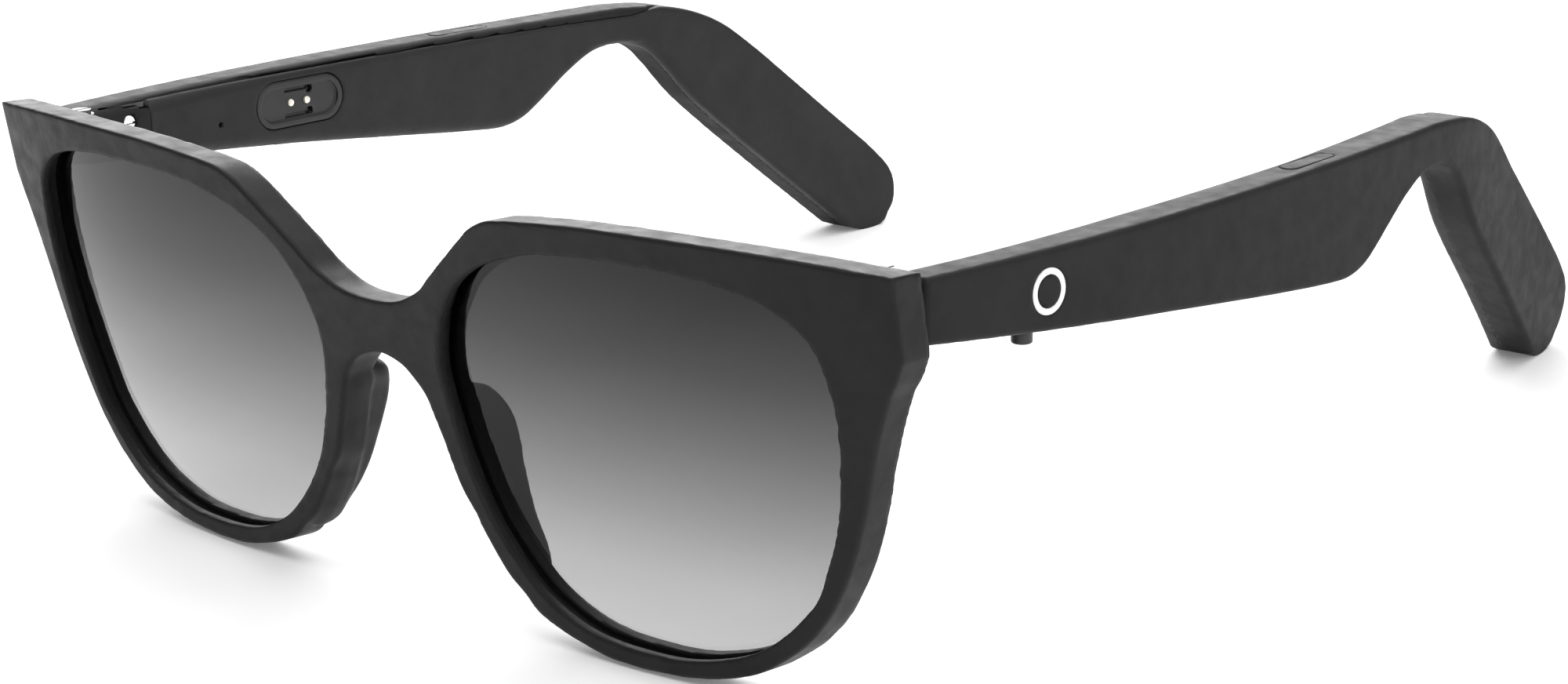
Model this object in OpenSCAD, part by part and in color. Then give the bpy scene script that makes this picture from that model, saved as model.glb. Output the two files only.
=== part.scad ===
// Smart glasses: a moulded front with two tinted lenses, and two folding temples that each hold
// a battery, a circuit board, a speaker, a microphone, a charging port and a push button.
// +X is the wearer's left, +Y points back along the temples, +Z is up. The glasses stand open on
// the lower rims and the hook tips, and the origin is under the middle of their box.

/* [Front] */
// Width of the front between its outer corners
front_w = 145; // [138:0.5:150]
// Depth of the front plate from face to back
front_t = 4.1; // [3.9:0.1:4.6]
// Radius that the front wraps round the face with
wrap_r = 455; // [420:5:520]
// Angle that the top of the front leans forward by
front_lean = 6; // [5.5:0.1:7]
// Angle that the walls of the front slope down by towards the back
wall_fall = 6.3; // [5.5:0.1:7]
// How far the nose pads stand behind the foot of the front
pad_reach = 7.4; // [6.5:0.1:8]

/* [Lenses] */
// Thickness of a lens
lens_t = 1.4; // [1.2:0.1:1.5]
// Depth of the front face in front of the lens
lens_recess = 1.9; // [1.6:0.1:1.9]
// Depth of the lens groove in the rim
groove = 0.7; // [0.5:0.1:0.8]

/* [Temples] */
// Thickness of a temple
temple_t = 6; // [5.6:0.1:6.4]
// Angle that the temples slope down by towards the ears
temple_pitch = 3.8; // [3:0.1:4.5]
// Angle that the hook turns down by behind the ear
hook_angle = 39.3; // [36:0.1:42]
// Height of the temple's top edge above the hinge centre
temple_top = 3.5; // [3.3:0.1:3.7]
// How far the temple bows out from the hinge axis
bow = 8.4; // [8:0.1:8.8]
// Radius of the bow along the temple
bow_r = 470; // [450:5:520]
// How far behind the hinge axis the temple is widest
bow_at = 45.4; // [44:0.1:47]
// Thickness of the temple's outer wall, and of its top and bottom walls
wall = 1.3; // [1.1:0.1:1.4]
// Thickness of the inner cover
cover_t = 1.25; // [1.1:0.05:1.3]

/* [Hinges] */
// Sideways distance of a hinge axis from the middle
hinge_x = 66; // [65.5:0.1:66.5]
// Distance of a hinge axis behind the foot of the front
hinge_y = 8.6; // [8.4:0.1:9]
// Height of a hinge centre
hinge_z = 45.2; // [45:0.1:45.4]
// Radius of the hinge barrel
barrel_r = 1.6; // [1.5:0.05:1.7]
// Radius of the pivot screw's shank
pivot_r = 0.6; // [0.5:0.05:0.7]
// Height of each of the three knuckles
knuckle_h = 1.65; // [1.5:0.05:1.7]

/* [Electronics] */
// Length of the charging port
port_l = 15; // [14:0.1:15.4]
// Height of the charging port
port_h = 6.2; // [6:0.1:6.4]
// Distance between the two charging contacts
contact_pitch = 2.8; // [2.6:0.1:3]
// Radius of the push button
button_r = 1.15; // [1:0.05:1.3]
// How far the push button travels
button_travel = 0.35; // [0.3:0.05:0.35]
// Length of the battery in the hook
battery_l = 27; // [22:0.5:27]
// Height of the battery in the hook
battery_h = 8; // [7:0.1:8]
// Length of the speaker
speaker_l = 16; // [14:0.5:16]

/* [Hidden] */
LEFT = 1;
RIGHT = -1;
$fn = 48;
gap = 0.05;              // clearance between a seated piece and its seat
far = 400;               // reaches past everything
origin_y = 74.86;        // the middle of the depth, behind the foot of the front

// ---- curves ----
// A smooth open line through points: each span is a Catmull-Rom curve cut into n pieces.
function at(p, i) = p[max(0, min(len(p) - 1, i))];
function on_span(a, b, c, d, t) =
    0.5 * ((2 * b) + (c - a) * t + (2 * a - 5 * b + 4 * c - d) * t * t
            + (3 * b - a - 3 * c + d) * t * t * t);
function smooth(p, n) = [
    for (i = [0 : len(p) - 2], k = [0 : n - 1]) on_span(at(p, i - 1), p[i], p[i + 1], at(p, i + 2), k / n),
    p[len(p) - 1]
];
// A smooth closed line through points
function ring_at(p, i) = p[(i + len(p)) % len(p)];
function smooth_ring(p, n) = [
    for (i = [0 : len(p) - 1], k = [0 : n - 1])
        on_span(ring_at(p, i - 1), p[i], ring_at(p, i + 1), ring_at(p, i + 2), k / n)
];
// The closed line p moved outwards by d, for a line that runs clockwise
function turn(v) = [-v[1], v[0]] / norm(v);
function grow(p, d) = [for (i = [0 : len(p) - 1]) p[i] + d * turn(ring_at(p, i + 1) - ring_at(p, i - 1))];
function mirrored(p) = [for (i = [len(p) - 1 : -1 : 0]) [-p[i][0], p[i][1]]];

// ---- outlines of the front, seen from the front: [sideways, up] ----
corner_x = front_w / 2;
front_foot = 0.05;       // the front face stands this far back at its foot
bridge_top = smooth([[0, 37.3], [2.5, 37.4], [4.9, 37.95], [8.9, 40.15], [15.5, 45.8], [18.6, 48.25],
                     [20.4, 49.4], [22.4, 50.2], [25.3, 50.65]], 2);
brow = smooth([[30, 51.1], [39, 51.55], [51, 51.6], [65, 50.9], [corner_x - 0.1, 49.95]], 2);
temporal = smooth([[corner_x, 41.1], [71.5, 38.75], [68.75, 31.7], [65.4, 21], [62.55, 14], [57.15, 7],
                   [51.2, 3], [42.6, 0.8], [35, 0.5], [27.5, 1.35], [20.9, 3.7], [16.3, 7.65], [12.35, 13.75],
                   [8.8, 21.2], [6.5, 27.25], [4.5, 29.4], [2.2, 30.55], [0, 30.95]], 3);
half_front = concat(bridge_top, brow, temporal);
front_line = concat(half_front, mirrored([for (i = [1 : len(half_front) - 2]) half_front[i]]));
aperture = smooth_ring([[64.8, 31.9], [63.6, 23], [58.95, 11.75], [52.3, 5.9], [43.9, 2.95], [35.7, 2.4],
                        [28.3, 3.15], [22.3, 5.7], [15.1, 13.2], [11.35, 22.2], [10.15, 28.2], [10.1, 32],
                        [12.3, 38], [18.2, 43.8], [28.5, 47.25], [36.8, 48], [49.3, 47.75], [58.9, 45.3],
                        [62.7, 42.1], [64.4, 37.3]], 3);

// A point of the front face, seen along the front's sloping walls
function face_y(p) = front_foot
    + (wrap_r - sqrt(pow(wrap_r, 2) - pow(p[0], 2)) - p[1] * sin(front_lean)) / cos(front_lean);
function along_walls(line) = [
    for (p = line) [p[0], p[1] * cos(wall_fall) + face_y(p) * sin(wall_fall)]
];

// ---- side outline of a temple about its hinge centre: [back along the temple, up] ----
belly = 75.6;            // the lowest point of the straight part is this far back
top_edge = smooth([[97, temple_top], [104.4, 2.8], [110.5, 1.4], [116, -1.2], [121.8, -5.3]], 3);
hook_tip = smooth([[143.3, -22.4], [147.2, -26.2], [148.6, -29.5], [147.9, -32.7], [145.3, -35.1],
                   [141.6, -35.9], [138, -34.8]], 3);
arch = smooth([[116.8, -17.3], [110, -11.2], [105.1, -5.6], [102.1, -2.9], [98.6, -1.6], [94.6, -1.5],
               [91, -2.4], [86.6, -4.75], [81.6, -8.2], [78.6, -10], [belly, -10.85], [72.1, -10.9],
               [64, -10.2]], 3);
underside = [[39, -7.6], [25, -6.3], [13, -5.2]];
temple_outline = concat(top_edge, hook_tip, arch, underside, [[-0.3, -3.95], [-0.3, temple_top]]);
cover_from = 11.4;       // the cover starts this far behind the hinge
cover_outline = concat(
    [[cover_from, temple_top - 1], [84, temple_top - 1], [98, temple_top - 1.15]],
    [for (p = top_edge) if (p[0] > 106) p], hook_tip, arch, underside, [[cover_from, -5.05]]);
pocket_from = 13.2;      // the hollow starts this far behind the hinge
pocket_outline = concat(
    [[pocket_from, temple_top - wall], [97, temple_top - wall]],
    [for (p = grow(temple_outline, -wall)) if (p[0] > 100) p],
    [for (p = grow(arch, -wall)) if (p[0] < 100 && p[0] > 66) p],
    [[64, -8.9], [pocket_from, -3.62]]);

bend = [99.5, -2.6];     // the hook turns down about this point
hook_mid = 5.65;         // the hook's centre line is this far above the bend
arm_end = 97;            // the hook's own bow starts behind this

pad_lean = 0.16;         // the nose pads spread by this much for each millimetre they run back

// ---- parts of a temple ----
leaf_t = 0.9;
leaf_x = 1.6;             // the leaf lies this far outside the hinge axis
leaf_end = 11;
web_end = 1.9;            // the web between the leaf and its knuckle reaches this far back
leaf_half_h = 2.3;
knuckle_gap = 0.08;
barrel_room = 0.45;      // space round the barrel in the temple
stack_half_h = 1.5 * knuckle_h + knuckle_gap;
leaf_screw_at = 7.8;
leaf_head_h = 0.85;
button_at = 16.7;
button_x = 4.2;
button_end = -7.4;
button_top = -3.5;
flange_r = 1.6;
flange_h = 0.5;
switch_z = button_top + button_travel + 0.05;
board_x = 5.2;
board_t = 0.8;
mic_at = 23.5;
mic_z = -2.8;
port_at = 37.6;
port_z = -1.8;
port_x = 2.75;
port_t = 1.2;
magnet_r = 1.3;
speaker_at = 62;
pad_at = 68.9;
pad_l = 10;
pad_w = 2.6;
pad_x = 4.7;
emblem_at = 17.2;
emblem_z = -1.5;
emblem_r = 2.5;
battery_from = 112.5;
battery_t = 2.2;
battery_depth = 3.1;      // its middle lies this far inside the outer face
flex_outline = [[53.2, 1], [98, 1], [105.8, -0.4], [111.2, -4.7], [112.3, -6.2], [112.6, -6],
                [111.5, -4.4], [106, -0.1], [98.1, 1.3], [53.2, 1.3]];

// ---- frames of reference ----
module at_origin() {
    translate([0, -origin_y, 0]) children();
}

module on_side(side) {
    mirror([side == RIGHT ? 1 : 0, 0, 0]) children();
}

// Children are placed about the hinge centre, +Y back along the temple and +Z along the hinge axis.
module on_temple(side) {
    at_origin() on_side(side)
        translate([hinge_x, hinge_y, hinge_z]) rotate([-temple_pitch, 0, 0]) children();
}

// Children are placed along the hook: y is still the distance along the temple.
module along_hook() {
    translate([0, bend[0], bend[1]]) rotate([-hook_angle, 0, 0]) translate([0, -bend[0], 0]) children();
}

// An outline [across, up] made solid from y0 to y1
module facing_back(outline, y0, y1) {
    translate([0, y1, 0]) rotate([90, 0, 0]) linear_extrude(height = y1 - y0) polygon(outline);
}

// An outline [back, up] made solid from x0 to x1
module facing_side(outline, x0, x1) {
    translate([x0, 0, 0]) rotate([90, 0, 90]) linear_extrude(height = x1 - x0) polygon(outline);
}

module block(low, high) {
    translate(low) cube(high - low);
}

// ---- front ----
// An outline of the front face made solid along the front's walls
module through_front(line) {
    rotate([-wall_fall, 0, 0]) facing_back(along_walls(line), -30, 30);
}

// The curved plate between two depths behind its front face
module front_layer(t0, t1) {
    translate([0, front_foot, 0]) rotate([front_lean, 0, 0]) translate([0, wrap_r, -20])
        difference() {
            cylinder(r = wrap_r - t0, h = 90, $fn = 720);
            translate([0, 0, -1]) cylinder(r = wrap_r - t1, h = 92, $fn = 720);
            translate([-far * 2, -wrap_r * 0.5, -1]) cube([far * 4, far * 4, 92]);
        }
}

module both_sides() {
    children();
    mirror([1, 0, 0]) children();
}

// One nose pad: it follows the inner edge of the rim and swells backwards, away from the nose.
module nose_pad_form() {
    intersection() {
        multmatrix([[1, pad_lean, 0, 0], [0, 1, 0, 0], [0, 0, 1, 0]])
            facing_back(smooth_ring([[7.2, 25.6], [8.6, 27.8], [10.6, 26.2], [12.3, 21.6], [14.2, 16.9],
                                     [17, 12], [20.4, 8.2], [19.5, 5.6], [16.8, 7.6], [13.4, 12.2],
                                     [11, 16.6], [8.6, 22.4]], 3), -2, 12);
        facing_side(smooth_ring([[-2, 4], [3, 4.6], [5.3, 8.5], [6.3, 12.6], [7.1, 16.5],
                                 [pad_reach + 0.1, 21], [pad_reach, 24], [5.9, 27], [1, 30], [-4, 31],
                                 [-4, 5]], 3), 0, 30);
    }
}

module front_hinge_seat() {
    block([-2.3, -5.05, -2.7], [3.3, -1, 2.7]);
    for (x = [-1.35, 2.2]) translate([x, 0, 0]) rotate([90, 0, 0]) cylinder(r = 0.55, h = 7.7);
}

module front_frame() {
    color([0.10, 0.10, 0.11]) at_origin() difference() {
        union() {
            intersection() {
                through_front(front_line);
                front_layer(0, front_t);
            }
            difference() {
                both_sides() nose_pad_form();
                front_layer(-20, 1.5);
            }
        }
        both_sides() {
            through_front(aperture);
            intersection() {
                through_front(grow(aperture, groove + gap));
                front_layer(lens_recess - gap, lens_recess + lens_t + gap);
            }
            translate([hinge_x, hinge_y, hinge_z]) rotate([-temple_pitch, 0, 0]) front_hinge_seat();
        }
    }
}

module lens(side) {
    color([0.25, 0.25, 0.27, 0.6]) at_origin() on_side(side) intersection() {
        through_front(grow(aperture, groove));
        front_layer(lens_recess, lens_recess + lens_t);
    }
}

// ---- hinges ----
module knuckles(levels) {
    for (level = levels)
        translate([0, 0, level * (knuckle_h + knuckle_gap) - knuckle_h / 2]) children();
}

module front_hinge_leaf(side) {
    color([0.55, 0.55, 0.57]) on_temple(side) difference() {
        union() {
            block([-2.2, -5, -2.6], [3.2, -4.1, 2.6]);
            knuckles([-1, 1]) {
                cylinder(r = barrel_r, h = knuckle_h);
                translate([-0.45, -4.5, 0]) cube([0.9, 4.5, knuckle_h]);
            }
        }
        translate([0, 0, -5]) cylinder(r = pivot_r + 0.03, h = 10);
        for (x = [-1.35, 2.2]) translate([x, 0, 0]) rotate([90, 0, 0]) cylinder(r = 0.6, h = 8);
    }
}

module front_leaf_screws(side) {
    color([0.75, 0.75, 0.77]) on_temple(side)
        for (x = [-1.35, 2.2]) translate([x, -3.6, 0]) rotate([90, 0, 0]) difference() {
            union() {
                cylinder(r = 0.8, h = 0.48);
                cylinder(r = 0.5, h = 4);
            }
            translate([-0.12, -1, -0.1]) cube([0.24, 2, 0.3]);
        }
}

module pivot_screw(side) {
    head_z = stack_half_h + 0.05;
    color([0.75, 0.75, 0.77]) on_temple(side) difference() {
        union() {
            translate([0, 0, -stack_half_h]) cylinder(r = pivot_r, h = stack_half_h + head_z);
            translate([0, 0, head_z]) cylinder(r = 1.25, h = 0.5);
        }
        translate([-0.15, -2, head_z + 0.25]) cube([0.3, 4, 1]);
    }
}

module temple_hinge_leaf(side) {
    color([0.55, 0.55, 0.57]) on_temple(side) difference() {
        union() {
            knuckles([0]) {
                cylinder(r = barrel_r, h = knuckle_h);
                translate([0.6, 0, 0]) cube([leaf_x + leaf_t - 0.6, web_end, knuckle_h]);
            }
            block([leaf_x, 1, -leaf_half_h], [leaf_x + leaf_t, leaf_end, leaf_half_h]);
        }
        translate([0, 0, -5]) cylinder(r = pivot_r + 0.03, h = 10);
        translate([-2, leaf_screw_at, 0]) rotate([0, 90, 0]) cylinder(r = 0.65, h = 5);
    }
}

module temple_leaf_screw(side) {
    color([0.85, 0.85, 0.86]) on_temple(side) translate([leaf_x - leaf_head_h, leaf_screw_at, 0])
        rotate([0, 90, 0]) difference() {
            union() {
                cylinder(r = 1, h = leaf_head_h - 0.02);
                cylinder(r = 0.55, h = 4);
            }
            translate([-0.15, -2, -1]) cube([0.3, 4, 1.25]);
        }
}

// ---- temple casings ----
// The hole that the button slides in, with room for its flange
module button_room() {
    translate([button_x, button_at, -8]) cylinder(r = button_r + gap, h = 6);
    translate([button_x, button_at, button_top - flange_h - gap]) cylinder(r = flange_r + 0.1, h = 3);
}

// Everything on the head's side of a face that lies t inside the temple's bowed outer face
module bow_disc(t) {
    translate([bow - bow_r, bow_at, -80]) cylinder(r = bow_r - t, h = 160, $fn = 720);
}

module inside_of(t) {
    intersection() {
        bow_disc(t);
        union() {
            along_hook() bow_disc(t);
            block([-60, -40, -60], [60, arm_end, 60]);
        }
    }
}

// An outline [back, up] made solid between two depths inside the outer face
module bowed_layer(outline, t0, t1) {
    difference() {
        intersection() {
            facing_side(outline, -30, 30);
            inside_of(t0);
        }
        inside_of(t1);
    }
}

function outer_x(y) = bow - bow_r + sqrt(pow(bow_r, 2) - pow(y - bow_at, 2));

// Children lie on the outer face at y, z, with +Z outwards and +X back along the temple.
module on_outer_face(y, z) {
    translate([outer_x(y), y, z]) rotate([0, 0, asin((y - bow_at) / bow_r)]) rotate([90, 0, 90]) children();
}

module pill(l, w, h) {
    linear_extrude(height = h) {
        square([l - w, w], center = true);
        for (x = [-1, 1]) translate([x * (l - w) / 2, 0]) circle(r = w / 2);
    }
}

module pad_form(grown) {
    translate([pad_x, pad_at, temple_top - 1]) rotate([0, 0, 92.9])
        pill(pad_l + grown * 2, pad_w + grown * 2, 2);
}

module temple_shell(side) {
    color([0.11, 0.11, 0.12]) on_temple(side) difference() {
        bowed_layer(temple_outline, 0, temple_t);
        bowed_layer(grow(cover_outline, 0.08), temple_t - cover_t - gap, temple_t + 2);
        bowed_layer(pocket_outline, wall, temple_t + 1);
        translate([0, 0, -8]) cylinder(r = barrel_r + barrel_room, h = 16);
        block([-3, -2, -8], [barrel_r + barrel_room - 0.6, 0.6, 8]);
        translate([leaf_x - gap, 0, -leaf_half_h - gap])
            cube([leaf_t + 2 * gap, leaf_end + gap, (leaf_half_h + gap) * 2]);
        block([0, 0, -knuckle_h / 2 - gap], [leaf_x, web_end + gap, knuckle_h / 2 + gap]);
        translate([-4, leaf_screw_at, 0]) rotate([0, 90, 0]) cylinder(r = 1.1, h = 4 + leaf_x);
        translate([0, leaf_screw_at, 0]) rotate([0, 90, 0]) cylinder(r = 0.6, h = 4.85);
        button_room();
        pad_form(gap);
        on_outer_face(emblem_at, emblem_z) translate([0, 0, -0.25]) emblem_ring(gap);
        translate([pad_x, belly - 3, -14]) rotate([0, 0, 94]) pill(6, 1.2, 5);
    }
}

module inner_cover(side) {
    color([0.12, 0.12, 0.13]) on_temple(side) difference() {
        bowed_layer(cover_outline, temple_t - cover_t, temple_t);
        translate([-2, port_at, port_z]) rotate([90, 0, 90]) pill(port_l + 0.2, port_h + 0.2, 9);
        translate([-2, mic_at, mic_z]) rotate([0, 90, 0]) cylinder(r = 0.4, h = 9);
        button_room();
    }
}

// ---- things inside and on a temple ----
module circuit_board(side) {
    color([0.05, 0.30, 0.16]) on_temple(side) {
        facing_side([[18.9, -3.9], [53, -7.3], [53, 1.9], [13.6, 1.9], [13.6, -1.1], [18.9, -1.1]],
                    board_x, board_x + board_t);
        for (chip = [[26.5, -2.6, 4, 4], [47.2, -4.4, 5, 5]])
            translate([board_x - 1.1, chip[0], chip[1]]) cube([1.15, chip[2], chip[3]]);
    }
}

module battery(side) {
    color([0.60, 0.62, 0.66]) on_temple(side) along_hook()
        let (at = battery_from + battery_l / 2)
        translate([outer_x(at) - battery_depth, at, hook_mid])
            rotate([0, 0, asin((at - bow_at) / bow_r)])
                cube([battery_t, battery_l, battery_h], center = true);
}

module battery_flex(side) {
    color([0.75, 0.45, 0.15]) on_temple(side) bowed_layer(flex_outline, 2.3, 3.6);
}

module speaker(side) {
    color([0.18, 0.18, 0.2]) on_temple(side) {
        block([3.6, speaker_at, -8.4], [5.7, speaker_at + speaker_l, -0.6]);
        translate([3.3, speaker_at + speaker_l / 2, -4.7]) rotate([0, 90, 0]) cylinder(r = 3.2, h = 0.4);
    }
}

module microphone(side) {
    color([0.72, 0.70, 0.62]) on_temple(side)
        translate([3.66, mic_at, mic_z]) cube([0.88, 3, 2.2], center = true);
}

module touch_pad(side) {
    color([0.13, 0.13, 0.14]) on_temple(side) intersection() {
        pad_form(0);
        block([-30, 0, temple_top - 0.95], [30, 120, temple_top]);
    }
}

module charge_port(side) {
    color([0.06, 0.06, 0.07]) on_temple(side) difference() {
        translate([port_x, port_at, port_z]) rotate([90, 0, 90]) pill(port_l, port_h, port_t);
        for (y = [-0.5, 0.5]) translate([0, port_at + y * contact_pitch, port_z])
            rotate([0, 90, 0]) cylinder(r = 0.55, h = 9);
        for (z = [2, -2]) translate([port_x - 0.5, port_at, port_z + z]) cube([2, 4.4, 0.5], center = true);
    }
}

module charge_contacts(side) {
    color([0.90, 0.80, 0.50]) on_temple(side)
        for (y = [-0.5, 0.5]) translate([port_x - 0.05, port_at + y * contact_pitch, port_z])
            rotate([0, 90, 0]) cylinder(r = 0.5, h = board_x - port_x);
}

module charge_magnets(side) {
    color([0.65, 0.65, 0.68]) on_temple(side)
        for (y = [-1, 1]) translate([port_x + port_t + gap, port_at + y * 4.4, port_z])
            rotate([0, 90, 0]) cylinder(r = magnet_r, h = 1.1);
}

module button_switch(side) {
    color([0.80, 0.80, 0.78]) on_temple(side) {
        block([button_x - 1, button_at - 1.6, switch_z + 0.5], [board_x, button_at + 1.6, switch_z + 1.7]);
        translate([button_x, button_at, switch_z]) cylinder(r = 0.6, h = 0.6);
    }
}

module power_button(side) {
    color([0.08, 0.08, 0.09]) on_temple(side) translate([button_x, button_at, 0]) {
        translate([0, 0, button_end]) cylinder(r = button_r, h = button_top - button_end);
        translate([0, 0, button_top - flange_h]) cylinder(r = flange_r, h = flange_h);
    }
}

module emblem_ring(grown) {
    difference() {
        cylinder(r = emblem_r + grown, h = 0.3);
        translate([0, 0, -1]) cylinder(r = emblem_r - 0.7 - grown, h = 3);
    }
}

module emblem(side) {
    color([0.92, 0.92, 0.92]) on_temple(side) on_outer_face(emblem_at, emblem_z) translate([0, 0, -0.25])
        emblem_ring(0);
}

front_frame();
lens(LEFT);  // lens_left
lens(RIGHT);  // lens_right
front_hinge_leaf(LEFT);  // front_hinge_leaf_left
front_hinge_leaf(RIGHT);  // front_hinge_leaf_right
front_leaf_screws(LEFT);  // front_leaf_screws_left
front_leaf_screws(RIGHT);  // front_leaf_screws_right
pivot_screw(LEFT);  // pivot_screw_left
pivot_screw(RIGHT);  // pivot_screw_right
temple_shell(LEFT);  // temple_shell_left
temple_shell(RIGHT);  // temple_shell_right
inner_cover(LEFT);  // inner_cover_left
inner_cover(RIGHT);  // inner_cover_right
temple_hinge_leaf(LEFT);  // temple_hinge_leaf_left
temple_hinge_leaf(RIGHT);  // temple_hinge_leaf_right
temple_leaf_screw(LEFT);  // temple_leaf_screw_left
temple_leaf_screw(RIGHT);  // temple_leaf_screw_right
circuit_board(LEFT);  // circuit_board_left
circuit_board(RIGHT);  // circuit_board_right
battery(LEFT);  // battery_left
battery(RIGHT);  // battery_right
battery_flex(LEFT);  // battery_flex_left
battery_flex(RIGHT);  // battery_flex_right
speaker(LEFT);  // speaker_left
speaker(RIGHT);  // speaker_right
microphone(LEFT);  // microphone_left
microphone(RIGHT);  // microphone_right
touch_pad(LEFT);  // touch_pad_left
touch_pad(RIGHT);  // touch_pad_right
charge_port(LEFT);  // charge_port_left
charge_port(RIGHT);  // charge_port_right
charge_contacts(LEFT);  // charge_contacts_left
charge_contacts(RIGHT);  // charge_contacts_right
charge_magnets(LEFT);  // charge_magnets_left
charge_magnets(RIGHT);  // charge_magnets_right
button_switch(LEFT);  // button_switch_left
button_switch(RIGHT);  // button_switch_right
power_button(LEFT);  // power_button_left
power_button(RIGHT);  // power_button_right
emblem(LEFT);  // emblem_left
emblem(RIGHT);  // emblem_right
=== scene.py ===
"""Smart glasses: finished shells, lenses, trim, materials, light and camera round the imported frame."""
import math

import bpy
import numpy as np
from mathutils import Matrix, Vector


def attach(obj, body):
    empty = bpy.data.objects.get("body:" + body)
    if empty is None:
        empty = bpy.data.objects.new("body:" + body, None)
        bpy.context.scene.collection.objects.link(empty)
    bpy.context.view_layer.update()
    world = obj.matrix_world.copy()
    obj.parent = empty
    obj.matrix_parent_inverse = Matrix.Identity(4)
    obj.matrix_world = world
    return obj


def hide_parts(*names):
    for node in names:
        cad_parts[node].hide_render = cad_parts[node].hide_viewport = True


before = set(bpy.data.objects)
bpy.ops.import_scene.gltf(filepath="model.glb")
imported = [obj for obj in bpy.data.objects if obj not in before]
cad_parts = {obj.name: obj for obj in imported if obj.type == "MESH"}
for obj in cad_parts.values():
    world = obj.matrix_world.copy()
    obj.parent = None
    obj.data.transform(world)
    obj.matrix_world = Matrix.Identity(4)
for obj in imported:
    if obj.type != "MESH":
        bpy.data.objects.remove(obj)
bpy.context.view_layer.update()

MM = 0.001
ORIGIN_Y = 74.86                       # the row's origin, behind the foot of the front
HINGE = np.array([66.0, 8.6, 45.2])    # left hinge centre
PITCH = math.radians(3.8)              # the temples slope down by this
HOOK = math.radians(39.3)              # the hooks turn down by this
BEND = (99.5, -2.6)
ARM_END = 97.0                         # past this the outer face turns with the hook
STEP = 0.4      # spacing of the meshing grid
FINE = 0.4 * STEP                      # and its spacing on small trim
BLOCK = 16                             # layers of the grid that are worked out at a time
PROBE, SHADE_PROBE = 0.06, 0.12        # half steps for a field's slope: on its edges, and for shading
STIFF = 0.06                           # pull of a mesh point towards the middle of its cell's crossings
SIDES = (("left", 1), ("right", -1))


# ---- curves ----
def spans(pts, n, closed):
    """Catmull-Rom curve through pts, n pieces to a span."""
    p = np.asarray(pts, float)
    m = len(p)
    out = []
    t = np.arange(n)[:, None] / n
    for i in range(m if closed else m - 1):
        if closed:
            a, b, c, d = p[i - 1], p[i], p[(i + 1) % m], p[(i + 2) % m]
        else:
            a, b, c, d = p[max(i - 1, 0)], p[i], p[i + 1], p[min(i + 2, m - 1)]
        out.append(0.5 * (2 * b + (c - a) * t + (2 * a - 5 * b + 4 * c - d) * t ** 2
                          + (3 * b - a - 3 * c + d) * t ** 3))
    if not closed:
        out.append(p[-1:])
    return np.concatenate(out)


def smooth(pts, n=8):
    return spans(pts, n, False)


def ring(pts, n=8):
    return spans(pts, n, True)


# ---- 2-D distance fields ----
def polygon_distance(poly, u, v):
    """Signed distance from points to a closed outline, negative inside."""
    best = np.full(u.shape, 1e18)
    inside = np.zeros(u.shape, bool)
    nxt = np.roll(poly, -1, axis=0)
    for (ax, ay), (bx, by) in zip(poly, nxt):
        ex, ey = bx - ax, by - ay
        length = ex * ex + ey * ey
        if length < 1e-12:
            continue
        wx, wy = u - ax, v - ay
        t = np.clip((wx * ex + wy * ey) / length, 0, 1)
        np.minimum(best, (wx - t * ex) ** 2 + (wy - t * ey) ** 2, out=best)
        if ay != by:
            inside ^= ((ay > v) != (by > v)) & (wx < wy * ex / ey)
    return np.where(inside, -1, 1) * np.sqrt(best)


class Outline:
    """A closed outline's distance, kept on a fine grid near the line and read back between its points."""

    def __init__(self, poly, h=0.1, reach=2.6, soft=2):
        self.lo = poly.min(0) - reach - 1
        coarse = 1.0
        size = poly.max(0) + reach + 1 - self.lo
        nu, nv = (np.ceil(size / coarse).astype(int) + 1)
        k = int(round(coarse / h))
        cu = self.lo[0] + coarse * np.arange(nu)
        cv = self.lo[1] + coarse * np.arange(nv)
        rough = polygon_distance(poly, *np.meshgrid(cu, cv, indexing="ij"))
        fu = np.arange((nu - 1) * k + 1) / k
        fv = np.arange((nv - 1) * k + 1) / k
        iu, iv = np.minimum(fu.astype(int), nu - 2), np.minimum(fv.astype(int), nv - 2)
        a, b = (fu - iu)[:, None], (fv - iv)[None, :]
        g = rough[iu][:, iv] * (1 - a) * (1 - b) + rough[iu + 1][:, iv] * a * (1 - b)
        g += rough[iu][:, iv + 1] * (1 - a) * b + rough[iu + 1][:, iv + 1] * a * b
        near = np.abs(g) < reach
        pu, pv = np.nonzero(near)
        g[near] = polygon_distance(poly, self.lo[0] + fu[pu] * coarse, self.lo[1] + fv[pv] * coarse)
        for _ in range(soft):
            g[1:-1] = (g[:-2] + 2 * g[1:-1] + g[2:]) / 4
            g[:, 1:-1] = (g[:, :-2] + 2 * g[:, 1:-1] + g[:, 2:]) / 4
        self.g, self.h = g, h

    def __call__(self, u, v):
        fu = np.clip((u - self.lo[0]) / self.h, 0, self.g.shape[0] - 1.001)
        fv = np.clip((v - self.lo[1]) / self.h, 0, self.g.shape[1] - 1.001)
        iu, iv = fu.astype(np.int32), fv.astype(np.int32)
        a, b = fu - iu, fv - iv
        g = self.g
        near = g[iu, iv] * (1 - a) + g[iu + 1, iv] * a
        far = g[iu, iv + 1] * (1 - a) + g[iu + 1, iv + 1] * a
        return near * (1 - b) + far * b


# ---- solids ----
def fade(value, start, end):
    """0 up to start and 1 from end on."""
    return np.clip((value - start) / (end - start), 0, 1)


def both(a, b, r):
    """Intersection with its edge rounded by r."""
    return np.minimum(np.maximum(a, b), -r) + np.hypot(np.maximum(a + r, 0), np.maximum(b + r, 0))


def merge(a, b, k):
    """Union with its crease filled by k."""
    h = np.maximum(k - np.abs(a - b), 0) / k
    return np.minimum(a, b) - h * h * k / 4


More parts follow.
